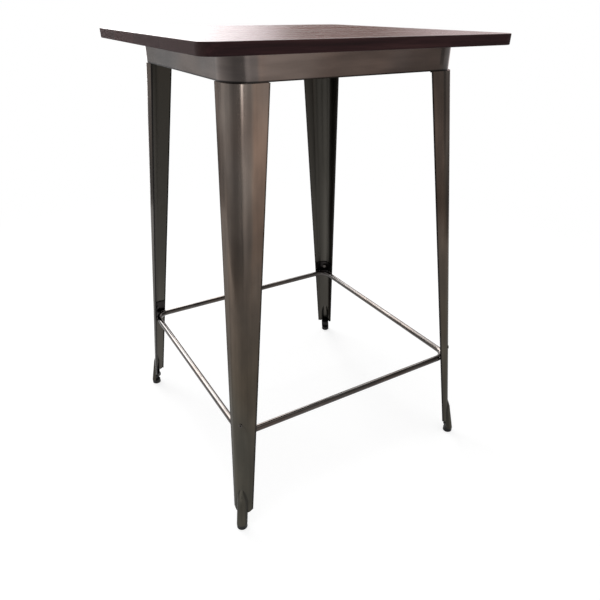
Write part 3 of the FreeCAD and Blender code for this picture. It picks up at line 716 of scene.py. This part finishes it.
# %% [markdown]
# ## The four legs
# A leg's streaks run from head to foot, so its noise is squeezed across the leg and drawn out along it.
# The patches of lacquer are long too. Four materials would allow four different legs, but one keeps
# them alike, as legs from one press are.

# %% Legs
CORNERS = ("front_left", "front_right", "back_left", "back_right")


def leg_shade(tree, colour):
    return rib_shade_and_highlight(tree, leg_painted_shade(tree, colour))


leg_steel = gunmetal(
    "leg_steel", leg_spot, stretch=(50, 50, 1.0), dark=(0.180, 0.157, 0.140), light=(0.235, 0.207, 0.185),
    shade_of=leg_shade, patches=(11, 11, 4.5), wave=0.45, streak=0.12, rim_light=0.5,
)
for corner in CORNERS:
    dress(f"leg_{corner}", leg_steel)
print(f"{len(CORNERS)} legs finished")

# %% [markdown]
# ## Apron and braces
# The apron is a band of sheet round the frame, so its streaks and patches run level. A dark line of
# painted shade runs along the lower edge. That line is found from the height of the apron's own box, not
# from a number typed in, so it stays on the edge if the solid changes. The braces inside the corners are
# cut from the same sheet.

# %% Apron
# Painted shade on the inside faces of the apron.
APRON_INSIDE_SHADE = (0.060, 0.055, 0.050)
# Painted shade: a dark line along the apron's lower edge.
EDGE_PAINTED_SHADE = (0.022, 0.020, 0.019)
apron_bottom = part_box("apron")[0].z


def apron_shade(tree, colour):
    # Painted shade along the lower edge.
    edge_shade = smooth_range(tree, table_parts(tree)["Z"], apron_bottom + 0.0035, apron_bottom + 0.0010)
    return blend(tree, edge_shade, blend(tree, inside_mask(tree), colour, APRON_INSIDE_SHADE), EDGE_PAINTED_SHADE)


apron_steel = gunmetal(
    "apron_steel", table_spot, stretch=(2.5, 2.5, 40), dark=(0.158, 0.142, 0.136),
    light=(0.190, 0.170, 0.160), shade_of=apron_shade, patches=(3.5, 3.5, 15), wave=0.6,
)
dress("apron", apron_steel)
for corner in CORNERS:
    dress(f"corner_brace_{corner}", apron_steel)
print(f"apron finished, its lower edge {apron_bottom:.3f} m up")

# %% [markdown]
# ## Foot rail and tabs
# The rail is drawn tube, rounder and duller than the sheet, with hardly any waves. The tabs that carry
# it are almost black. Both are the same recipe with other tones.

# %% Rail and tabs
rail_steel = gunmetal(
    "rail_steel", table_spot, stretch=(12, 12, 60), dark=(0.063, 0.060, 0.057),
    light=(0.095, 0.090, 0.086), wave=0.1, satin=0.16,
)
tab_steel = gunmetal(
    "tab_steel", table_spot, stretch=(30, 30, 8), dark=(0.010, 0.009, 0.009),
    light=(0.022, 0.020, 0.019),
)
dress("foot_rail", rail_steel)
for corner in CORNERS:
    dress(f"rail_tab_{corner}", tab_steel)
print("rail and tabs finished")

# %% [markdown]
# ## Rail bolts and nuts
# A flat bolt head sits on the corner of each leg, with a six-sided socket for the key. At four
# millimetres across, a dark hexagon of painted shade on the head reads as a socket, and cutting one in
# the mesh would not show. A hexagon is the larger of two distances: straight up or down, and along the
# slant of its sides.

# %% Rail bolts
SOCKET_EDGE = (0.0022, 0.0018)
# Painted shade in a socket that the mesh does not have.
SOCKET_PAINTED_SHADE = (0.006, 0.006, 0.006)
HEAD_TURN = (0.2, 0.3)
bolts_low, bolts_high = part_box("rail_bolts")
bolt_height = (bolts_low.z + bolts_high.z) / 2


def socket_shade(tree, colour):
    rise = math_node(tree, "ABSOLUTE", math_node(tree, "SUBTRACT", table_parts(tree)["Z"], bolt_height))
    half_rise = math_node(tree, "MULTIPLY", rise, 0.5)
    slant = math_node(tree, "MULTIPLY_ADD", sideways(tree), math.sqrt(0.75), half_rise)
    hollow = smooth_range(tree, math_node(tree, "MAXIMUM", rise, slant), *SOCKET_EDGE)
    head = smooth_range(tree, outward(tree), *HEAD_TURN)
    return blend(tree, math_node(tree, "MULTIPLY", hollow, head), colour, SOCKET_PAINTED_SHADE)


bolt_steel = gunmetal(
    "bolt_steel", table_spot, stretch=(60, 60, 60), dark=(0.055, 0.051, 0.046),
    light=(0.095, 0.089, 0.082), shade_of=socket_shade, wave=0.0,
)
nut_steel = gunmetal(
    "nut_steel", table_spot, stretch=(60, 60, 60), dark=(0.045, 0.042, 0.040),
    light=(0.080, 0.076, 0.072),
)
dress("rail_bolts", bolt_steel)
dress("rail_nuts", nut_steel)
print(f"rail bolts finished, {bolt_height:.3f} m up")

# %% [markdown]
# ## Glides
# The feet stand in plugs of moulded black plastic. Moulded skin is finely pitted and scuffs to grey
# where it meets the floor. A plain black would swallow the shape, so two noises, one for the pits and
# one for the scuffs, change its colour and roughness.

# %% Glides
SCUFF_BLACKS = [(0.35, (0.004, 0.004, 0.0045)), (0.75, (0.016, 0.0155, 0.015))]
SCUFF_ROUGHNESS = (0.42, 0.66)
EVEN = (1, 1, 1)

glide_plastic, tree, shader = new_material("glide_plastic")
pitted = noise(tree, table_spot(tree), EVEN, 900, detail=2)
scuffed = noise(tree, table_spot(tree), EVEN, 70, detail=4)
skin = add_node(tree, "Bump", {"Strength": 0.12, "Distance": 0.0003, "Height": pitted})
set_shader(
    tree, shader, Base_Color=ramp(tree, scuffed, SCUFF_BLACKS), Specular_IOR_Level=0.2,
    Roughness=smooth_range(tree, scuffed, 0.3, 0.8, *SCUFF_ROUGHNESS), Normal=skin.outputs[0],
)
for corner in CORNERS:
    dress(f"foot_glide_{corner}", glide_plastic)
print(f"{len(CORNERS)} glides finished")

# %% [markdown]
# ## Zinc fasteners
# The bolts, washers and nuts inside the frame are bright zinc, which blooms in bluish and yellowish
# clouds. It could be one grey metal, but the bloom is what tells zinc from steel, so a fine noise
# shifts its colour.

# %% Zinc
ZINC_BLOOM = [(0.3, (0.46, 0.47, 0.50)), (0.7, (0.60, 0.58, 0.52))]
ZINC_ROUGHNESS = (0.26, 0.42)


def zinc_plate(name, shade_of=None):
    material, tree, shader = new_material(name)
    bloom = noise(tree, table_spot(tree), EVEN, 160, detail=3)
    plated = ramp(tree, bloom, ZINC_BLOOM)
    set_shader(
        tree, shader, Base_Color=shade_of(tree, plated) if shade_of else plated, Metallic=1.0,
        Roughness=smooth_range(tree, bloom, 0.3, 0.7, *ZINC_ROUGHNESS),
    )
    return material


zinc = zinc_plate("zinc_plate")
for fastener in ("leg_bolts", "leg_washers", "leg_nuts"):
    dress(fastener, zinc)
print("bolts, washers and nuts plated")

# %% [markdown]
# ## Screws under the top
# Wood screws come up through the apron's flange, two on each side, with a cross recess in each head.
# The heads look down and are nine millimetres wide, so a dark cross of painted shade drawn on them is
# enough. All eight are alike when the sides are folded together, so one cross is drawn at the one place
# where they all meet.

# %% Screws
SCREW_HEAD_RADIUS = 0.0045
SCREW_ASIDE = 0.150
CROSS_HALF_WIDTH = 0.0006
CROSS_HALF_LENGTH = 0.0024
CROSS_EDGE = (1.15, 0.85)
# Painted shade in the cross recess of each screw head, which the mesh does not have.
CROSS_PAINTED_SHADE = (0.02, 0.02, 0.02)
HEAD_DOWN = (-0.6, -0.9)
screw_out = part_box("top_screws")[1].x - SCREW_HEAD_RADIUS


def cross_shade(tree, colour):
    sides = folded_sides(tree, table_parts(tree))
    off = []
    for way, place in (("MAXIMUM", screw_out), ("MINIMUM", SCREW_ASIDE)):
        gap = math_node(tree, "SUBTRACT", math_node(tree, way, *sides), place)
        off.append(math_node(tree, "ABSOLUTE", gap))
    arms = []
    for across, along in (off, off[::-1]):
        width_share = math_node(tree, "DIVIDE", across, CROSS_HALF_WIDTH)
        length_share = math_node(tree, "DIVIDE", along, CROSS_HALF_LENGTH)
        arms.append(math_node(tree, "MAXIMUM", width_share, length_share))
    cross = smooth_range(tree, math_node(tree, "MINIMUM", *arms), *CROSS_EDGE)
    downward = smooth_range(tree, facing(tree)["Z"], *HEAD_DOWN)
    return blend(tree, math_node(tree, "MULTIPLY", cross, downward), colour, CROSS_PAINTED_SHADE)


dress("top_screws", zinc_plate("screw_zinc", cross_shade))
print(f"screws finished, {screw_out:.3f} m out")

# %% [markdown]
# ## One weld bead
# The rail hangs from its tabs by short welds. A weld is a row of small overlapping ripples, so a bead
# is a thin tube whose girth swells and shrinks along its length and closes at both ends. A plain
# cylinder would look like a pin laid in the corner. The rings of the tube are made one by one and
# joined with four-sided faces.

# %% One bead
BEAD_RIPPLES = 8
RINGS_PER_RIPPLE = 5
BEAD_SIDES = 10
RIPPLE_DEPTH = 0.22
END_BLUNTNESS = 8
END_OPENING = 0.02


def bead_rings(mesh, start, end, girth):
    axis = (end - start).normalized()
    across = axis.orthogonal().normalized()
    lift = axis.cross(across)
    turns = [2 * math.pi * side / BEAD_SIDES for side in range(BEAD_SIDES)]
    spokes = [across * math.cos(angle) + lift * math.sin(angle) for angle in turns]
    ring_count = BEAD_RIPPLES * RINGS_PER_RIPPLE
    rings = []
    for step in range(ring_count + 1):
        share = step / ring_count
        ripple = 1 - RIPPLE_DEPTH + RIPPLE_DEPTH * abs(math.sin(math.pi * BEAD_RIPPLES * share))
        close = math.sqrt(max(END_OPENING, 1 - (2 * share - 1) ** END_BLUNTNESS))
        middle = start.lerp(end, share)
        rings.append([mesh.verts.new(middle + girth * ripple * close * spoke) for spoke in spokes])
    return rings


def weld_bead(name, start, end, girth):
    mesh = bmesh.new()
    rings = bead_rings(mesh, start, end, girth)
    for low, high in zip(rings, rings[1:]):
        for side in range(BEAD_SIDES):
            after = (side + 1) % BEAD_SIDES
            mesh.faces.new((low[side], low[after], high[after], high[side]))
    mesh.faces.new(reversed(rings[0]))
    mesh.faces.new(rings[-1])
    data = bpy.data.meshes.new(name)
    mesh.to_mesh(data)
    mesh.free()
    data.polygons.foreach_set("use_smooth", [True] * len(data.polygons))
    bead = bpy.data.objects.new(name, data)
    bpy.context.scene.collection.objects.link(bead)
    return bead


print(f"a bead has {BEAD_RIPPLES} ripples and {BEAD_SIDES} sides")

# %% [markdown]
# ## Welds on the rail
# Each tab has two arms, and each arm is welded to the tube by one bead near its top. The places come
# from the boxes of the rail and of one tab, mirrored to the other corners, because then the beads stay
# in the seam if the rail moves. A bead rides on the table's only body and has a weld steel of its own.

# %% Beads on the rail
BEAD_GIRTH = 0.0021
BEAD_LENGTH = 0.016
BEAD_FROM_TAB_END = 0.002
BEAD_OUT_SHARE = 0.88
BEAD_UP_SHARE = 1.62

weld_steel = gunmetal(
    "weld_steel", table_spot, stretch=(300, 300, 300), dark=(0.10, 0.094, 0.092),
    light=(0.22, 0.205, 0.195),
)
rail_low, rail_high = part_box("foot_rail")
rail_radius = (rail_high.z - rail_low.z) / 2
bead_out = rail_high.x - rail_radius + BEAD_OUT_SHARE * rail_radius
bead_height = rail_low.z + rail_radius * BEAD_UP_SHARE
bead_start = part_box("rail_tab_back_right")[0].x + BEAD_FROM_TAB_END
beads = []
for corner in CORNERS:
    side_x = 1 if corner.endswith("right") else -1
    side_y = 1 if corner.startswith("back") else -1
    for number, turned in enumerate((False, True), start=1):
        ends = []
        for along in (bead_start, bead_start + BEAD_LENGTH):
            x, y = (along, bead_out) if turned else (bead_out, along)
            ends.append(Vector((side_x * x, side_y * y, bead_height)))
        bead = weld_bead(f"rail_weld_{corner}_{number}", *ends, BEAD_GIRTH)
        bead.data.materials.append(weld_steel)
        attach(bead, "root")
        beads.append(bead)
print(f"{len(beads)} weld beads, rail {rail_radius * 2000:.0f} mm thick")

# %% [markdown]
# ## Finish
# The view transform decides how light becomes the colours of the picture: the standard one shows a
# colour about as it was typed, while the filmic ones would grey the white paper.

# %% Finish
bpy.context.scene.view_settings.view_transform = "Standard"
